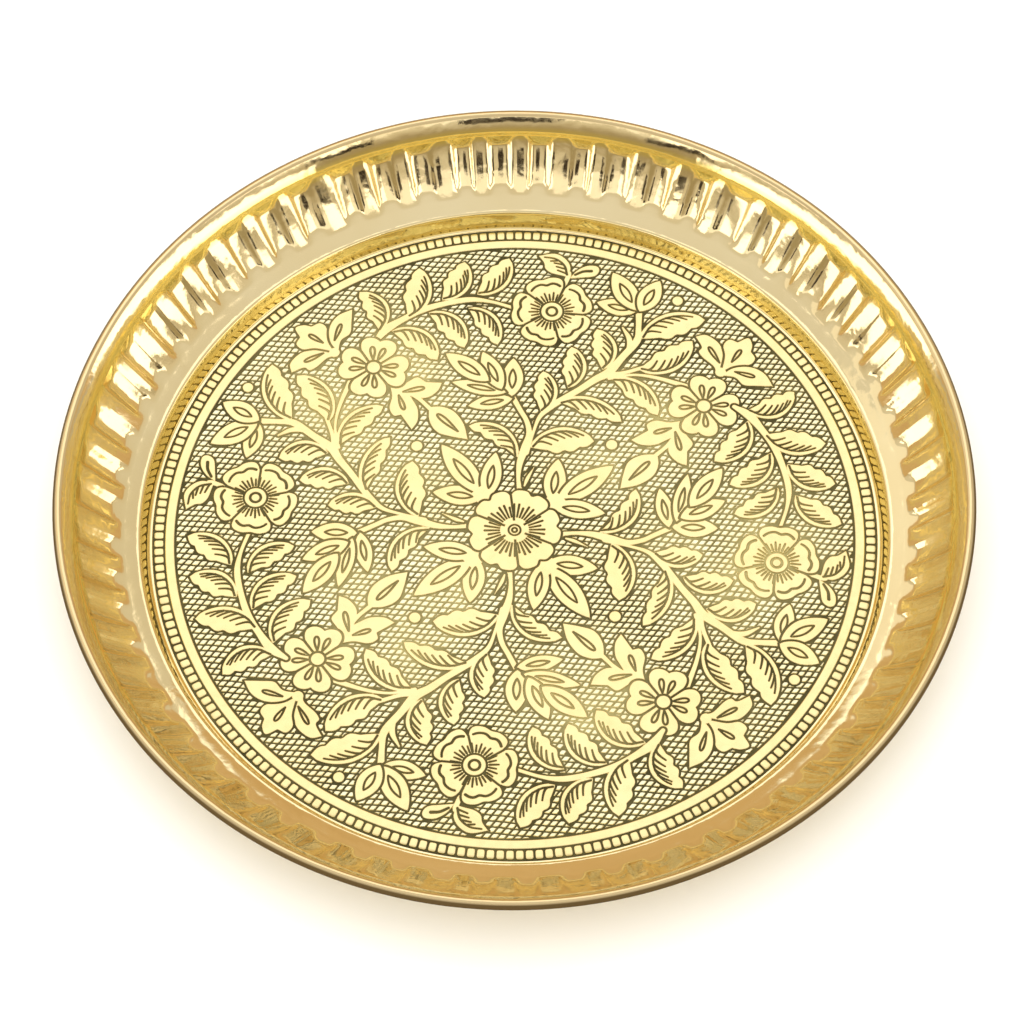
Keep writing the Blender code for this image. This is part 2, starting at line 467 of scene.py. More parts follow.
def flowers(plate):
    """The small flower, the rose and the two leaves over the rose."""
    small_flower(plate, (54.9, 40.0))
    plate.shape(((16.8, 85.0), (17.8, 88.4), (16.4, 91.6), (13.2, 93.6), (8.2, 92.9)),
                ((8.2, 92.9), (9.8, 90.4), (10.2, 88.2), (12.0, 86.6), (15.0, 85.6), (16.8, 85.0)))
    plate.line(curve(((16.6, 86.0), (15.9, 89.2), (13.4, 91.6), (10.2, 92.3))), 0.46, 0.3)
    for ends in (((16.4, 86.4), (13.9, 87.6)), ((16.2, 88.0), (13.6, 88.9)),
                 ((15.4, 89.6), (13.0, 90.2)), ((13.8, 91.0), (12.0, 90.9))):
        plate.line(ends, 0.42, 0.3)
    plate.shape(((17.2, 84.6), (19.4, 87.4), (22.6, 89.1), (25.6, 88.8), (26.2, 87.0),
                 (24.6, 85.2), (21.0, 84.8), (17.2, 84.6)))
    plate.line(curve(((19.0, 85.9), (21.4, 87.0), (23.8, 87.1))), 0.5, 0.7)
    plate.stem(((15.4, 81.6, 1.6), (17.0, 85.4, 1.7), (17.3, 86.6, 1.4)))
    rose(plate, (11.9, 73.2))


# The pieces of the pattern: a plate's kind is the place of its piece in this row
PATTERN_PIECES = ("floor_vines", "floor_flowers", "floor_pearls", "floor_centre_flower")
VINES, FLOWERS, PEARLS, CENTRE_FLOWER = range(4)


def stamped():
    """(field, silhouette, kind of piece) of the whole pattern: a quarter turned four times
    around the centre flower."""
    quarter = Plate(VINES)
    vines(quarter)
    tulips(quarter)
    quarter.kind = FLOWERS
    flowers(quarter)
    quarter.kind = PEARLS
    quarter.disc((28.1, 27.5), 1.75)
    quarter.disc((48.7, 76.2), 1.65)
    quarter.cut()
    middle = Plate(CENTRE_FLOWER)
    centre_flower(middle)
    middle.cut()
    layers = [[np.rot90(layer, turn) for layer in (quarter.field, quarter.cover, quarter.owner)]
              for turn in range(4)]
    layers.append([middle.field, middle.cover, middle.owner])
    field = np.full((COUNT, COUNT), FAR)
    cover = field.copy()
    owner = np.zeros((COUNT, COUNT), int)
    for raised, laid, kind in layers:
        parted = np.minimum(field, -laid - OUTLINE)
        owner = np.where(raised > parted, kind, owner)
        field = np.maximum(parted, raised)
        cover = np.maximum(cover, laid)
    return field, cover, owner


# ---------------- fields to meshes


def contours(field, level):
    """Closed loops of points along one level of a field, with the higher side on the left."""
    value = field - level
    rows, columns = value.shape
    size = rows * columns
    corners = (value[:-1, :-1], value[:-1, 1:], value[1:, 1:], value[1:, :-1])
    code = sum((corner > 0) * weight for corner, weight in zip(corners, (1, 2, 4, 8)))
    middle = sum(corners) > 0
    code = np.where((code == 5) & middle, 16, code)
    code = np.where((code == 10) & middle, 17, code)
    # the side where a line comes into a cell, and the one where it leaves
    moves = {1: "SW", 2: "ES", 3: "EW", 4: "NE", 5: "SW NE", 6: "NS", 7: "NW", 8: "WN", 9: "SN",
             10: "ES WN", 11: "EN", 12: "WE", 13: "SE", 14: "WS", 16: "SE NW", 17: "WS EN"}
    shift = {"S": 0, "N": columns, "W": size, "E": size + 1}
    starts = []
    stops = []
    for kind, steps in moves.items():
        row, column = np.nonzero(code == kind)
        cell = row * columns + column
        for start, stop in steps.split():
            starts.append(cell + shift[start])
            stops.append(cell + shift[stop])
    starts = np.concatenate(starts)
    stops = np.concatenate(stops)
    ids, place = np.unique(starts, return_inverse=True)
    follow = np.empty(len(ids), int)
    follow[place] = np.searchsorted(ids, stops)
    upright = ids >= size
    cell = np.where(upright, ids - size, ids)
    row = cell // columns
    column = cell % columns
    here = value[row, column]
    there = value[np.where(upright, row + 1, row), np.where(upright, column, column + 1)]
    share = here / (here - there)
    points = np.stack([column + np.where(upright, 0, share), row + np.where(upright, share, 0)], 1)
    points = points * CELL - REACH
    follow = follow.tolist()
    seen = bytearray(len(follow))
    loops = []
    for first in range(len(follow)):
        if seen[first]:
            continue
        loop = []
        index = first
        while not seen[index]:
            seen[index] = 1
            loop.append(index)
            index = follow[index]
        loops.append(points[loop])
    return loops


def simplified(loop, tolerance):
    """The loop without the points that lie within the tolerance of a straight line."""
    count = len(loop)
    closed = np.vstack([loop, loop[:1]])
    far = int(np.argmax(((loop - loop[0]) ** 2).sum(1)))
    keep = {0, far}
    stack = [(0, far), (far, count)]
    while stack:
        low, high = stack.pop()
        if high - low < 2:
            continue
        start = closed[low]
        along = closed[high] - start
        rest = closed[low + 1:high] - start
        length = math.hypot(along[0], along[1])
        off = abs(rest[:, 0] * along[1] - rest[:, 1] * along[0]) / max(length, 1e-9)
        worst = int(np.argmax(off))
        if off[worst] > tolerance:
            worst += low + 1
            keep.add(worst)
            stack += [(low, worst), (worst, high)]
    return loop[sorted(keep)]


def loop_area(loop):
    x, y = loop[:, 0], loop[:, 1]
    return 0.5 * float(np.dot(x, np.roll(y, -1)) - np.dot(y, np.roll(x, -1)))


def sides_of(triangles, size):
    """(one number for each directed side, and the number of the same side turned round)."""
    key = np.concatenate([triangles[:, k] * size + triangles[:, (k + 1) % 3] for k in range(3)])
    return key, (key % size) * size + key // size


def triangulated(points, edges, seeds):
    """(points, source of each, triangles on the left of the directed seed edges)."""
    # 0: keep all the triangles, 1e-5: points this near are one, True: tell the sources
    made = delaunay_2d_cdt([Vector(p) for p in points.tolist()], edges.tolist(), [], 0, 1e-5, True)
    flat = np.array([tuple(v) for v in made[0]])
    source = np.array([o[0] if o else -1 for o in made[3]])
    place = np.full(len(points), -1)
    for index, origins in enumerate(made[3]):
        place[origins] = index
    triangles = np.array([f for f in made[2] if len(f) == 3])
    size = len(flat)
    seeds = place[seeds]
    left = np.sort(seeds[:, 0] * size + seeds[:, 1])
    right = np.sort(seeds[:, 1] * size + seeds[:, 0])
    # 1 inside, -1 outside, spread from the seeds over every side that is not one
    key, back = sides_of(triangles, size)
    owner = np.tile(np.arange(len(triangles)), 3)
    state = np.zeros(len(triangles), int)
    state[owner[np.isin(key, left)]] = 1
    state[owner[np.isin(key, right)]] = -1
    open_edge = ~np.isin(key, np.concatenate([left, right]))
    key, back, owner = key[open_edge], back[open_edge], owner[open_edge]
    order = np.argsort(key)
    spot = np.clip(np.searchsorted(key[order], back), 0, len(key) - 1)
    match = key[order][spot] == back
    one = owner[match]
    other = owner[order][spot][match]
    fresh = np.ones(1, bool)
    while fresh.any():
        fresh = (state[one] == 0) & (state[other] != 0)
        state[one[fresh]] = state[other[fresh]]
    return flat, source, triangles[state == 1]


def relief(field, steps, tolerance):
    """(points, triangles) of closed plates with stepped edges, flat underneath.

    steps are (level of the field, height) from the foot of the plates to their tops.
    """
    foot = steps[0][1]
    points = []
    heights = []
    edges = []
    foot_edges = []
    count = 0
    for level, height in steps:
        for loop in contours(field, level):
            loop = simplified(loop, tolerance)
            if len(loop) < 3 or abs(loop_area(loop)) < SMALLEST_AREA:
                continue
            ids = count + np.arange(len(loop))
            pairs = np.stack([ids, np.roll(ids, -1)], 1)
            edges.append(pairs)
            if height == foot:
                foot_edges.append(pairs)
            points.append(loop)
            heights.append(np.full(len(loop), height))
            count += len(loop)
    heights = np.concatenate(heights)
    flat, source, top = triangulated(np.vstack(points), np.vstack(edges), np.vstack(foot_edges))
    height = np.where(source >= 0, heights[source], foot)
    # walls stand on the border of the top, and the flat base fills that border
    size = len(flat)
    key, back = sides_of(top, size)
    rim = key[~np.isin(key, back)]
    start = rim // size
    stop = rim % size
    used, place = np.unique(np.concatenate([start, stop]), return_inverse=True)
    start_low = place[:len(start)]
    stop_low = place[len(start):]
    pairs = np.stack([start_low, stop_low], 1)
    _, low_source, low = triangulated(flat[used], pairs, pairs)
    low = (np.where(low_source >= 0, low_source, 0) + size)[low]
    sides = np.concatenate([np.stack([start, start_low + size, stop_low + size], 1),
                            np.stack([start, stop_low + size, stop], 1)])
    upper = np.column_stack([flat, height])
    lower = np.column_stack([flat[used], np.full(len(used), PLATE_BASE)])
    triangles = np.concatenate([top, sides, low[:, ::-1]])
    vertices = np.vstack([upper, lower])
    used, index = np.unique(triangles, return_inverse=True)
    return vertices[used], index.reshape(-1, 3).tolist()


def add_object(name, data):
    thing = bpy.data.objects.new(name, data)
    bpy.context.scene.collection.objects.link(thing)
    return thing


def add_mesh(name, vertices, faces, material, smooth=None):
    """An object with this mesh. The points come in millimetres, and smooth is the angle in
    degrees that stays sharp."""
    mesh = bpy.data.meshes.new(name)
    mesh.from_pydata((np.asarray(vertices) * MM).tolist(), [], [tuple(f) for f in faces])
    mesh.validate()
    mesh.materials.append(material)
    if smooth is not None:
        mesh.shade_smooth()
        mesh.set_sharp_from_angle(angle=math.radians(smooth))
    return add_object(name, mesh)


def even_angles(count):
    return 2 * np.pi * np.arange(count) / count


def revolved(rows, angle, reach_of=None):
    """(points, faces) of rings joined by quads, one point at each angle. rows are (radius,
    height), or anything that reach_of turns into those at these angles."""
    columns = len(angle)
    vertices = []
    for row in rows:
        radius, height = row if reach_of is None else reach_of(row, angle)
        radius = np.broadcast_to(radius, columns)
        height = np.broadcast_to(height, columns)
        vertices.append(np.stack([radius * np.cos(angle), radius * np.sin(angle), height], 1))
    near = np.arange(columns)
    beside = np.roll(near, -1)
    faces = []
    for low in columns * np.arange(len(rows) - 1):
        high = low + columns
        faces.append(np.stack([near + low, beside + low, beside + high, near + high], 1))
    return np.vstack(vertices), [tuple(f) for f in np.vstack(faces).tolist()]


def closed_ring(rows, columns):
    """A solid of revolution whose section is the closed outline in rows."""
    vertices, faces = revolved(rows + rows[:1], even_angles(columns))
    count = len(rows) * columns
    return vertices[:count], [tuple(v % count for v in f) for f in faces]


# ---------------- the pan


def wall_rows(radii):
    """(radius, height, heading) up the wall at these radii."""
    reach = np.array([row[0] for row in WALL_SLOPES])
    slope = np.radians([row[1] for row in WALL_SLOPES])
    fine = np.linspace(reach[0], reach[-1], 4000)
    steep = np.tan(np.interp(fine, reach, slope))
    start = SHEET + FOOT_BEND_RADIUS * (1 - math.cos(slope[0]))
    climb = np.cumsum((steep[1:] + steep[:-1]) / 2) * (fine[1] - fine[0])
    height = np.interp(radii, fine, start + np.concatenate([[0.0], climb]))
    return list(zip(radii, height, np.interp(radii, reach, slope)))


def pan_profile(coarse):
    """The sheet's inner face as (radius, height, heading) from the floor's edge to the end of
    the curl, with rows coarse times further apart than on the side that is seen."""
    first, slope = WALL_SLOPES[0]
    slope = math.radians(slope)
    points = []
    for heading in np.linspace(0, slope, BEND_ROWS // coarse, endpoint=False):
        points.append((first - FOOT_BEND_RADIUS * (math.sin(slope) - math.sin(heading)),
                       SHEET + FOOT_BEND_RADIUS * (1 - math.cos(heading)), heading))
    radii = [np.arange(start, stop, step * coarse) for start, stop, step in WALL_ROWS]
    points += wall_rows(np.concatenate([*radii, [WALL_SLOPES[-1][0]]]))
    _, height, heading = points[-1]
    middle = (OUTER_RADIUS - CURL_RADIUS, height - CURL_RADIUS * math.cos(heading))
    for angle in np.linspace(heading + math.pi / 2, CURL_END, 1 + CURL_ROWS // coarse)[1:]:
        points.append((middle[0] + CURL_RADIUS * math.cos(angle),
                       middle[1] + CURL_RADIUS * math.sin(angle), angle - math.pi / 2))
    return points


def smooth_step(t):
    t = np.clip(t, 0, 1)
    return t * t * (3 - 2 * t)


def waves(angle, rows):
    """The sum of waves around the tray, each (size, count, start)."""
    return sum(size * np.sin(count * angle + start) for size, count, start in rows)


def flute_angles():
    """The pan's columns, closest together along the flanks of the flutes."""
    share = np.arange(COLUMNS) / FLUTE_COLUMNS
    share = share + FLANK_BUNCHING * np.sin(4 * np.pi * share) / (4 * np.pi)
    angle = (share + FLUTE_PHASE) * 2 * np.pi / FLUTES
    return angle - waves(angle, FLUTE_STRAY) * 2 * np.pi / FLUTES


def flute_depth(radius, angle):
    """How far the wall is pressed out at this radius and these angles."""
    deep = 1 + waves(angle, FLUTE_UNEVENNESS)
    phase = angle * FLUTES / (2 * np.pi) - FLUTE_PHASE + waves(angle, FLUTE_STRAY)
    wave = smooth_step(VALLEY_SHARE + FLANK_STEEPNESS * np.cos(2 * np.pi * phase))
    wave = wave * smooth_step((radius - FLUTE_LOW_RADIUS) / FLUTE_LOW_RUN)
    # the closed top cuts the valley off, with a rounded edge
    cap = max(0.0, (FLUTE_HIGH_RADIUS - radius) / FLUTE_HIGH_RUN)
    soft = 0.12 * min(cap, 1.0)
    near = np.clip(1 - abs(wave - cap) / (soft + 1e-9), 0, 1)
    return FLUTE_DEPTH * deep * np.maximum(np.minimum(wave, cap) - near**2 * soft / 4, 0)


def pan_ring(shift):
    """The ring of a row of the profile, shift outside the inner face, with its flutes."""
    def reach_of(row, angle):
        radius, height, heading = row
        fluted = FLUTE_LOW_RADIUS < radius < FLUTE_HIGH_RADIUS
        depth = shift + (flute_depth(radius, angle) if fluted else 0.0)
        return radius + depth * math.sin(heading), height - depth * math.cos(heading)
    return reach_of


def make_pan(material):
    """The whole sheet: the inner face with the step down to the floor's recess, and the back."""
    lip = [(FLOOR_STEP, RECESS_BASE, 0.0), (FLOOR_STEP + 0.03, FLOOR_TOP - 0.1, 0.0),
           (FLOOR_STEP + 0.12, FLOOR_TOP, 0.0)]
    angle = flute_angles()
    face, quads = revolved(lip + pan_profile(1), angle, pan_ring(0.0))
    back, more = revolved(pan_profile(BACK_COARSENESS)[::-1], angle, pan_ring(SHEET))
    offset = len(face)
    quads += [tuple(v + offset for v in f) for f in more]
    near = np.arange(COLUMNS)
    beside = np.roll(near, -1)
    seam = [near + offset - COLUMNS, beside + offset - COLUMNS, beside + offset, near + offset]
    quads += [tuple(f) for f in np.stack(seam, 1).tolist()]
    vertices = np.vstack([face, back, [(0, 0, RECESS_BASE), (0, 0, 0)]])
    middle = len(vertices) - 2
    last = middle - COLUMNS
    quads += [(middle, int(b), int(a)) for a, b in zip(near, beside)]
    quads = [f[::-1] for f in quads]
    quads += [(middle + 1, int(b) + last, int(a) + last) for a, b in zip(near, beside)]
    return add_mesh("pan_shell", vertices, quads, material, 32)


# ---------------- materials

# Broad patches of painted reflection, where the grooves' dark paste is lightened towards brass
# as if it caught the light: (x, y, radius)
PAINTED_REFLECTION_PATCHES = ((-38.0, 42.0, 44.0), (-30.0, -24.0, 40.0), (34.0, 30.0, 30.0),
                (62.0, -8.0, 34.0), (16.0, -52.0, 26.0))


class Nodes:
    """Short calls for building a node material on object coordinates."""

    def __init__(self, name):
        self.material = bpy.data.materials.new(name)
        self.material.use_nodes = True
        self.tree = self.material.node_tree
        self.shader = self.tree.nodes["Principled BSDF"]
        self.place = self.tree.nodes.new("ShaderNodeTexCoord").outputs["Object"]

    def constant(self, socket, value):
        self.shader.inputs[socket].default_value = value

    def drive(self, socket, source):
        self.tree.links.new(source, self.shader.inputs[socket])

    def add(self, kind, values, links, operation=None):
        """A new node with these values and links in its sockets."""
        node = self.tree.nodes.new("ShaderNode" + kind)
        if operation:
            node.operation = operation
        for socket, value in values.items():
            node.inputs[socket].default_value = value
        for socket, source in links.items():
            self.tree.links.new(source, node.inputs[socket])
        return node.outputs

    def noise(self, scale, detail=3.0, roughness=0.55, distortion=0.0):
        return self.add("TexNoise", {"Scale": scale, "Detail": detail, "Roughness": roughness,
                                     "Distortion": distortion}, {"Vector": self.place})["Fac"]

    def ramp(self, value, low, high, to_low=0.0, to_high=1.0):
        return self.add("MapRange", {"From Min": low, "From Max": high, "To Min": to_low,
                                     "To Max": to_high}, {"Value": value})["Result"]

    def blend(self, share, low, high):
        node = self.tree.nodes.new("ShaderNodeMix")
        node.data_type = "RGBA"
        self.tree.links.new(share, node.inputs["Factor"])
        for socket, colour in ((node.inputs[6], low), (node.inputs[7], high)):
            if isinstance(colour, tuple):
                socket.default_value = (*colour, 1.0)
            else:
                self.tree.links.new(colour, socket)
        return node.outputs[2]

    def math(self, operation, first, second):
        return self.add("Math", {}, {0: first, 1: second}, operation)["Value"]

    def reach(self):
        """The distance from the tray's axis."""
        flat = self.add("VectorMath", {1: (1.0, 1.0, 0.0)}, {0: self.place}, "MULTIPLY")["Vector"]
        return self.add("VectorMath", {}, {0: flat}, "LENGTH")["Value"]

    def beyond(self, radius, fade, to_low, to_high):
        """to_low inside a radius in millimetres, changing to to_high along the fade."""
        return self.ramp(self.reach(), radius * MM, (radius + fade) * MM, to_low, to_high)

    def zone(self, inner, outer, share):
        """share between two radii in millimetres, fading to 0 beside them."""
        return self.math("MULTIPLY", self.beyond(inner, ZONE_FADE, 0.0, share),
                         self.beyond(outer - ZONE_FADE, ZONE_FADE, 1.0, 0.0))

    def patches(self, spots):
        """Soft round patches, each (x, y, radius) in millimetres: 1 in the middle, 0 outside."""
        total = None
        for x, y, radius in spots:
            middle = (x * MM, y * MM, 0.0)
            away = self.add("VectorMath", {1: middle}, {0: self.place}, "DISTANCE")["Value"]
            spot = self.ramp(away, 0.35 * radius * MM, radius * MM, 1.0, 0.0)
            total = spot if total is None else self.math("MAXIMUM", total, spot)
        return total

    def bump(self, height, strength, distance, after=None):
        links = {"Height": height} if after is None else {"Height": height, "Normal": after}
        return self.add("Bump", {"Strength": strength, "Distance": distance}, links)["Normal"]


def polished_brass():
    """Bright rolled and buffed sheet, slightly rippled, with faint tarnish clouds, a yellower
    foot and riser as painted reflection of amber light bounced between the walls, a duller lip
    and a dark line of painted shade around the rim's edge, where the curl turns under."""
    n = Nodes("polished_brass_look")
    n.constant("Specular IOR Level", 0.0)
    cloud = n.ramp(n.noise(22.0, 4.0), 0.35, 0.7)
    sheet = n.blend(cloud, (0.88, 0.75, 0.46), (0.84, 0.69, 0.39))
    # painted reflection: the foot and riser are tinted yellower for the amber of light bounced
    # between the walls
    for zone, share in ((RISER, 0.85), (FOOT, 0.7)):
        sheet = n.blend(n.zone(*zone, share), sheet, (1.0, 0.80, 0.26))
    sheet = n.blend(n.beyond(LIP_RADIUS, LIP_FADE, 0.0, 0.9), sheet, (0.72, 0.56, 0.31))
    # painted shade: a dark, hardly metallic line along the rim's edge stands in for the shade
    # where the curl turns under
    edge = n.beyond(PAINTED_EDGE_SHADE_RADIUS, LIP_FADE, 0.0, 0.95)
    n.drive("Base Color", n.blend(edge, sheet, (0.07, 0.04, 0.012)))
    n.drive("Metallic", n.beyond(PAINTED_EDGE_SHADE_RADIUS, LIP_FADE, 1.0, 0.05))
    n.drive("Roughness", n.ramp(n.noise(160.0, 4.0), 0.3, 0.75, 0.06, 0.15))
    ripple = n.bump(n.noise(120.0, 2.0, 0.5, 0.4), 0.4, 0.0005)
    n.drive("Normal", n.bump(n.noise(900.0, 2.0), 0.06, 0.0002, ripple))
    return n.material


def relief_brass(name, light, deep, low, high):
    """The buffed tops of the stamped pattern, between two colours and two roughnesses."""
    n = Nodes(name)
    n.constant("Metallic", 1.0)
    cloud = n.ramp(n.noise(45.0, 4.0, 0.6), 0.38, 0.68)
    n.drive("Base Color", n.blend(cloud, light, deep))
    n.drive("Roughness", n.ramp(n.noise(400.0, 4.0), 0.3, 0.75, low, high))
    ripple = n.bump(n.noise(150.0, 2.0), 0.2, 0.0003)
    n.drive("Normal", n.bump(n.noise(1800.0, 3.0), 0.08, 0.0001, ripple))
    return n.material


def patina():
    """Dark antiquing paste left in the grooves, lightened towards brass in broad patches that are
    painted reflection of the light.
    """
    n = Nodes("groove_patina")
    n.constant("Metallic", 0.7)
    fine = n.ramp(n.noise(60.0, 5.0, 0.6), 0.35, 0.7)
    dark = n.blend(fine, (0.058, 0.049, 0.015), (0.14, 0.117, 0.041))
    mottle = n.ramp(n.noise(42.0, 3.0), 0.30, 0.62, 0.15, 1.0)
    # painted reflection: the grooves turn light brown in the broad patches, mottled by noise
    painted_reflection = n.math("MULTIPLY", n.patches(PAINTED_REFLECTION_PATCHES), mottle)
    n.drive("Base Color", n.blend(painted_reflection, dark, (0.46, 0.40, 0.17)))
    n.drive("Roughness", n.ramp(n.noise(500.0, 4.0), 0.3, 0.75, 0.35, 0.6))
    n.drive("Normal", n.bump(n.noise(1500.0, 3.0), 0.3, 0.0002))
    return n.material


def drawn_wire():
    """Drawn wire, with a duller surface."""
    n = Nodes("drawn_brass_look")
    n.constant("Metallic", 1.0)
    cloud = n.ramp(n.noise(90.0, 4.0), 0.35, 0.7)
    n.drive("Base Color", n.blend(cloud, (0.74, 0.54, 0.25), (0.55, 0.38, 0.17)))
    n.drive("Roughness", n.ramp(n.noise(700.0, 4.0), 0.3, 0.75, 0.28, 0.48))
    n.drive("Normal", n.bump(n.noise(2500.0, 2.0), 0.3, 0.0001))
    return n.material


def pale_floor():
    """The studio's floor: matt white."""
    n = Nodes("studio_floor")
    n.drive("Base Color", n.blend(n.noise(3.0, 2.0), (0.90, 0.90, 0.90), (0.92, 0.92, 0.915)))
    n.drive("Roughness", n.ramp(n.noise(60.0, 2.0), 0.3, 0.7, 0.75, 0.85))
    n.constant("Specular IOR Level", 0.2)
    return n.material


def dark_card():
    """A black card, for the dark streaks that the tray mirrors."""
    n = Nodes("studio_card")
    n.drive("Base Color", n.blend(n.noise(20.0), (0.02, 0.015, 0.01), (0.03, 0.02, 0.015)))
    n.constant("Roughness", 0.9)
    n.constant("Specular IOR Level", 0.1)
    return n.material


def warm_card():
    """A glowing tan board, for the low reflections of the near side of the tray."""
    n = Nodes("warm_card")
    cloud = n.ramp(n.noise(2.5, 3.0), 0.3, 0.7)
    n.drive("Emission Color", n.blend(cloud, (0.76, 0.54, 0.29), (0.66, 0.45, 0.22)))
    n.constant("Emission Strength", 1.0)
    n.constant("Base Color", (0.0, 0.0, 0.0, 1.0))
    n.constant("Specular IOR Level", 0.0)
    return n.material


# ---------------- the stamped floor


def net_field(cover):
    """The ground's small raised lozenges, between two families of grooves that sway a little."""
    axis = np.arange(COUNT) * CELL - REACH
    x, y = np.meshgrid(axis, axis)
    sway_x = 0.07 * np.sin(0.31 * y + 0.4) + 0.05 * np.sin(0.17 * x + 0.83 * y)
    sway_y = 0.07 * np.sin(0.27 * x + 1.1) + 0.05 * np.sin(0.71 * x - 0.23 * y)
    sides = []
    for wave in NET_WAVES:
        length = math.hypot(*wave)
        phase = wave[0] * (x + sway_x) + wave[1] * (y + sway_y)
        from_line = abs(phase - np.floor(phase) - 0.5) / -length + 0.5 / length
        sides.append(from_line - NET_GROOVE / 2)
    first, second = sides
    blend = np.clip(NET_SOFTNESS - abs(first - second), 0, NET_SOFTNESS) / NET_SOFTNESS
    net = np.minimum(first, second) - blend**2 * NET_SOFTNESS / 4
    free = np.minimum(-cover - OUTLINE + NET_OVERLAP, GROUND_RADIUS - np.hypot(x, y))
    return np.minimum(net, free)


def bead_mesh():
    """All the beads of the border: domed blocks with rounded corners."""
    corner = even_angles(BEAD_CORNERS) + np.pi / BEAD_CORNERS
    plan_x, plan_y = (np.sign(way) * abs(way) ** 0.42 for way in (np.cos(corner), np.sin(corner)))
    half_long = (BEAD_OUTER - BEAD_INNER) / 2
    half_wide = 1.06
    levels = [(1.0, PLATE_BASE), (1.0, 0.60), (0.95, 0.68), (0.87, FLOOR_TOP), (0.4, 0.715)]
    vertices = []
    faces = []
    ring = range(BEAD_CORNERS)
    for bead in range(BEADS):
        angle = 2 * np.pi * bead / BEADS
        first = len(vertices)
        for share, height in levels:
            inset = (1 - share) * half_wide
            r = (BEAD_INNER + BEAD_OUTER) / 2 + plan_x * (half_long - inset)
            t = plan_y * (half_wide - inset) * r / BEAD_PITCH_RADIUS
            for a, b in zip(r, t):
                vertices.append((a * math.cos(angle) - b * math.sin(angle),
                                 a * math.sin(angle) + b * math.cos(angle), height))
        for level in range(len(levels) - 1):
            low = first + BEAD_CORNERS * level
            high = low + BEAD_CORNERS
            for k in ring:
                beside = (k + 1) % BEAD_CORNERS
                faces.append((low + k, low + beside, high + beside, high + k))
        faces.append(tuple(high + k for k in ring))
        faces.append(tuple(first + k for k in reversed(ring)))
    return vertices, faces


def band_mesh():
    """The flat band between the ground and the beads, with bevelled edges."""
    rows = [(BAND_INNER, PLATE_BASE), (BAND_OUTER, PLATE_BASE), (BAND_OUTER, PLATE_FOOT),
            (BAND_OUTER - 0.08, SHOULDER), (BAND_OUTER - 0.25, FLOOR_TOP),
            (BAND_INNER + 0.25, FLOOR_TOP), (BAND_INNER + 0.08, SHOULDER),
            (BAND_INNER, PLATE_FOOT)]
    return closed_ring(rows, BORDER_COLUMNS)


def recess_mesh():
    """The dark disc that the raised plates stand in."""
    outer = FLOOR_STEP - 0.02
    low = RECESS_BASE + 0.01
    rows = [(RECESS_MIDDLE, low), (outer, low), (outer, RECESS_TOP), (RECESS_MIDDLE, RECESS_TOP)]
    vertices, faces = revolved(rows, even_angles(RECESS_COLUMNS))
    faces.append(tuple(range(3 * RECESS_COLUMNS, 4 * RECESS_COLUMNS)))
    faces.append(tuple(reversed(range(RECESS_COLUMNS))))
    return vertices, faces


def make_floor():
    """The pieces of the stamped floor, the border and the recess that they stand in."""
    tops = relief_brass("relief_brass_look", (0.80, 0.69, 0.37), (0.78, 0.655, 0.325), 0.20, 0.30)
    net = relief_brass("net_brass_look", (0.91, 0.87, 0.62), (0.88, 0.80, 0.50), 0.28, 0.40)
    field, cover, owner = stamped()
    pieces = []
    for kind, name in enumerate(PATTERN_PIECES):
        own = np.where(owner == kind, field, np.minimum(field, -0.1))
        pieces.append(add_mesh(name, *relief(own, PATTERN_STEPS, PATTERN_TOLERANCE), tops))
    pieces.append(add_mesh("floor_net", *relief(net_field(cover), NET_STEPS, NET_TOLERANCE), net))
    pieces.append(add_mesh("border_band", *band_mesh(), tops))
    pieces.append(add_mesh("border_beads", *bead_mesh(), tops, 50))
    pieces.append(add_mesh("floor_recess", *recess_mesh(), patina()))
    return pieces


# ---------------- studio

# The camera, from the tray's middle: millimetres and degrees
AIM = (-0.65, 5.82, 0.7)
CAMERA_DISTANCE = 1007.8
CAMERA_RISE = math.radians(60.0)
CAMERA_ROLL = math.radians(-0.9)
LENS = 125.5

# The studio's floor, in millimetres
FLOOR_RADIUS = 6000.0
FLOOR_DROP = 0.2
FLOOR_CORNERS = 128

# The surroundings: the colours at and below the horizon and straight above, and (height,
# colour) between them
LOWEST = (0.66, 0.59, 0.48)
HIGHEST = (0.90, 0.87, 0.82)
SURROUNDINGS = ((0.11, (0.40, 0.33, 0.19)), (0.22, (0.44, 0.36, 0.22)),
                (0.35, (0.78, 0.70, 0.56)), (0.80, (0.80, 0.75, 0.65)))


def make_camera():
    data = bpy.data.cameras.new("camera")
    data.lens = LENS
    data.sensor_width = 36.0
    data.clip_start = 0.05
    data.clip_end = 50.0
    camera = add_object("camera", data)
    back = Vector((0.0, -math.cos(CAMERA_RISE), math.sin(CAMERA_RISE)))
    right = Vector((1.0, 0.0, 0.0))
    up = back.cross(right)
    turned_right = math.cos(CAMERA_ROLL) * right + math.sin(CAMERA_ROLL) * up
    turned_up = math.cos(CAMERA_ROLL) * up - math.sin(CAMERA_ROLL) * right
    place = (Vector(AIM) + back * CAMERA_DISTANCE) * MM
    axes = Matrix((turned_right, turned_up, back)).transposed().to_4x4()
    camera.matrix_world = Matrix.Translation(place) @ axes
    bpy.context.scene.camera = camera


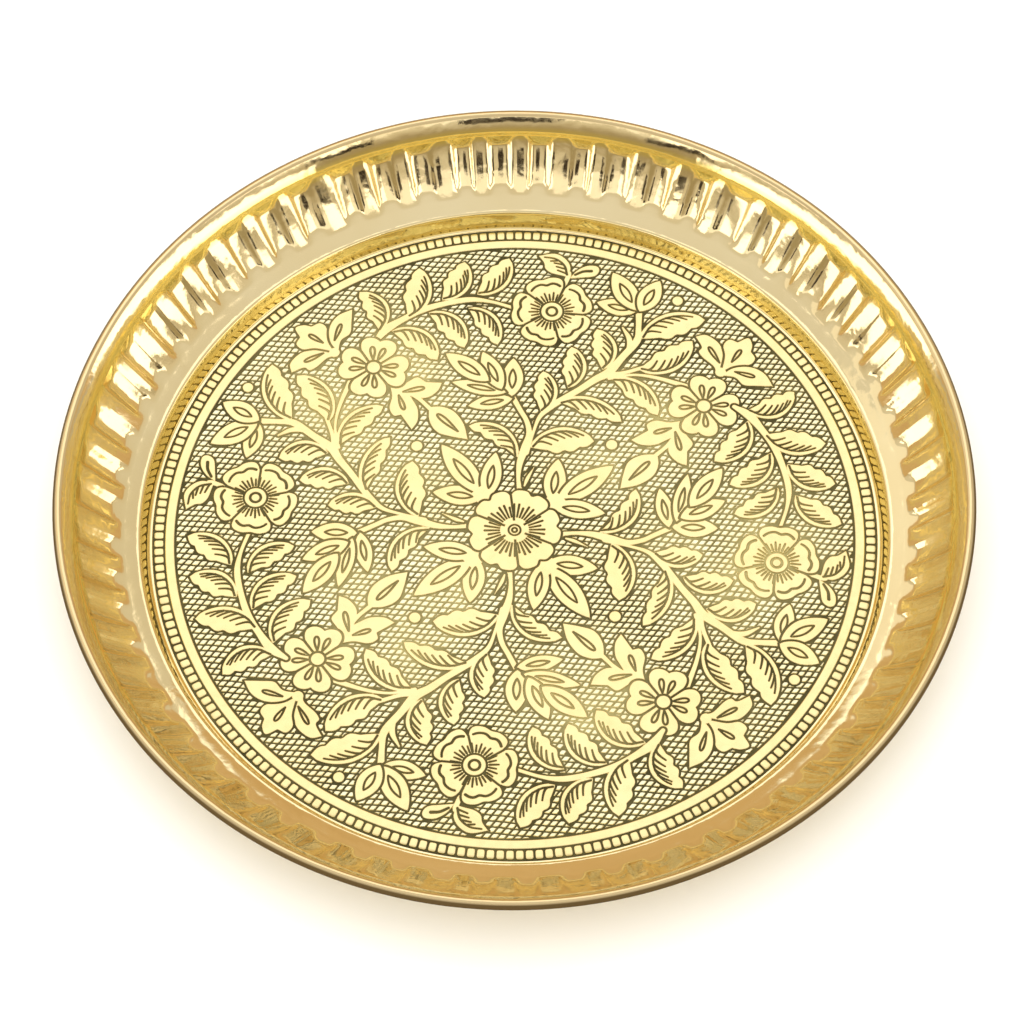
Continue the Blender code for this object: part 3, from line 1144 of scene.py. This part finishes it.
def make_world():
    world = bpy.data.worlds.new("studio")
    world.use_nodes = True
    tree = world.node_tree
    place = tree.nodes.new("ShaderNodeTexCoord")
    split = tree.nodes.new("ShaderNodeSeparateXYZ")
    ramp = tree.nodes.new("ShaderNodeValToRGB")
    tree.links.new(place.outputs["Generated"], split.inputs["Vector"])
    tree.links.new(split.outputs["Z"], ramp.inputs["Fac"])
    tree.links.new(ramp.outputs["Color"], tree.nodes["Background"].inputs["Color"])
    stops = ramp.color_ramp.elements
    stops[0].color = (*LOWEST, 1.0)
    stops[1].color = (*HIGHEST, 1.0)
    for height, colour in SURROUNDINGS:
        stops.new(height).color = (*colour, 1.0)
    tree.nodes["Background"].inputs["Strength"].default_value = 1.0
    bpy.context.scene.world = world


def hang(thing, azimuth, rise, distance):
    """Face the tray from this side: azimuth 0 is behind the camera, 90 on the right."""
    a = math.radians(azimuth)
    e = math.radians(rise)
    away = Vector((math.sin(a) * math.cos(e), -math.cos(a) * math.cos(e), math.sin(e)))
    thing.location = away * distance
    thing.rotation_mode = "QUATERNION"
    thing.rotation_quaternion = away.to_track_quat("Z", "Y")
    thing.visible_camera = False


def panel(name, azimuth, rise, distance, width, height, radiance, colour=(1.0, 1.0, 1.0)):
    """A soft light panel that faces the tray."""
    data = bpy.data.lights.new(name, "AREA")
    data.shape = "RECTANGLE"
    data.size = width
    data.size_y = height
    data.energy = radiance * math.pi * width * height
    data.color = colour
    light = add_object(name, data)
    hang(light, azimuth, rise, distance)
    return light


def flag(name, azimuth, rise, distance, width, height, material):
    """A dark or glowing card that faces the tray and that only reflections see."""
    w = width / 2 / MM
    h = height / 2 / MM
    corners = [(-w, -h, 0), (w, -h, 0), (w, h, 0), (-w, h, 0)]
    card = add_mesh(name, corners, [(0, 1, 2, 3)], material)
    hang(card, azimuth, rise, distance)
    card.visible_shadow = False
    card.visible_diffuse = False


def make_stage():
    corners = [(FLOOR_RADIUS * math.cos(t), FLOOR_RADIUS * math.sin(t), -FLOOR_DROP)
               for t in even_angles(FLOOR_CORNERS)]
    floor = add_mesh("studio_floor", corners, [range(FLOOR_CORNERS)], pale_floor())


def make_lights():
    """Panels and cards around the tray: azimuth, rise, distance, width and height, then a
    panel's radiance and colour, or a card's material."""
    dark = dark_card()
    panel("ceiling_panel", 180, 58, 1.7, 1.05, 1.0, 0.78)
    panel("front_panel", 0, 33.5, 1.8, 1.8, 0.42, 0.5)
    for side in (-1, 1):
        panel("shoulder_panel", 50 * side, 29.0, 1.8, 1.0, 0.34, 1.4)
        panel("side_panel", 72 * side, 8.0, 1.7, 1.9, 0.48, 1.8)
        flag("side_card", 36 * side, 20.0, 1.35, 0.30, 0.15, dark)
    panel("back_left_panel", -128, 43, 1.8, 1.5, 1.1, 0.30, (1.0, 0.95, 0.85))
    wash = panel("floor_wash", 0, 80, 2.2, 2.4, 2.4, 2.1, (0.96, 0.98, 1.0))
    wash.visible_glossy = False
    flag("front_card", 0, 25.6, 1.4, 0.44, 0.19, dark)
    flag("back_card", 180, 24.0, 1.5, 3.0, 0.86, warm_card())
    for side in (-1, 1):
        flag("back_side_card", 128 * side, 12.0, 1.6, 1.6, 0.40, warm_card())


def main():
    pieces = make_floor()
    shell = make_pan(polished_brass())
    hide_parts("pan")
    pieces.append(shell)
    for piece in pieces:
        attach(piece, "root")
    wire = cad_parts["rim_wire"]
    wire_look = drawn_wire()
    for slot in wire.material_slots:
        slot.material = wire_look
    make_camera()
    make_world()
    make_stage()
    make_lights()
    bpy.context.scene.view_settings.view_transform = "Standard"


main()
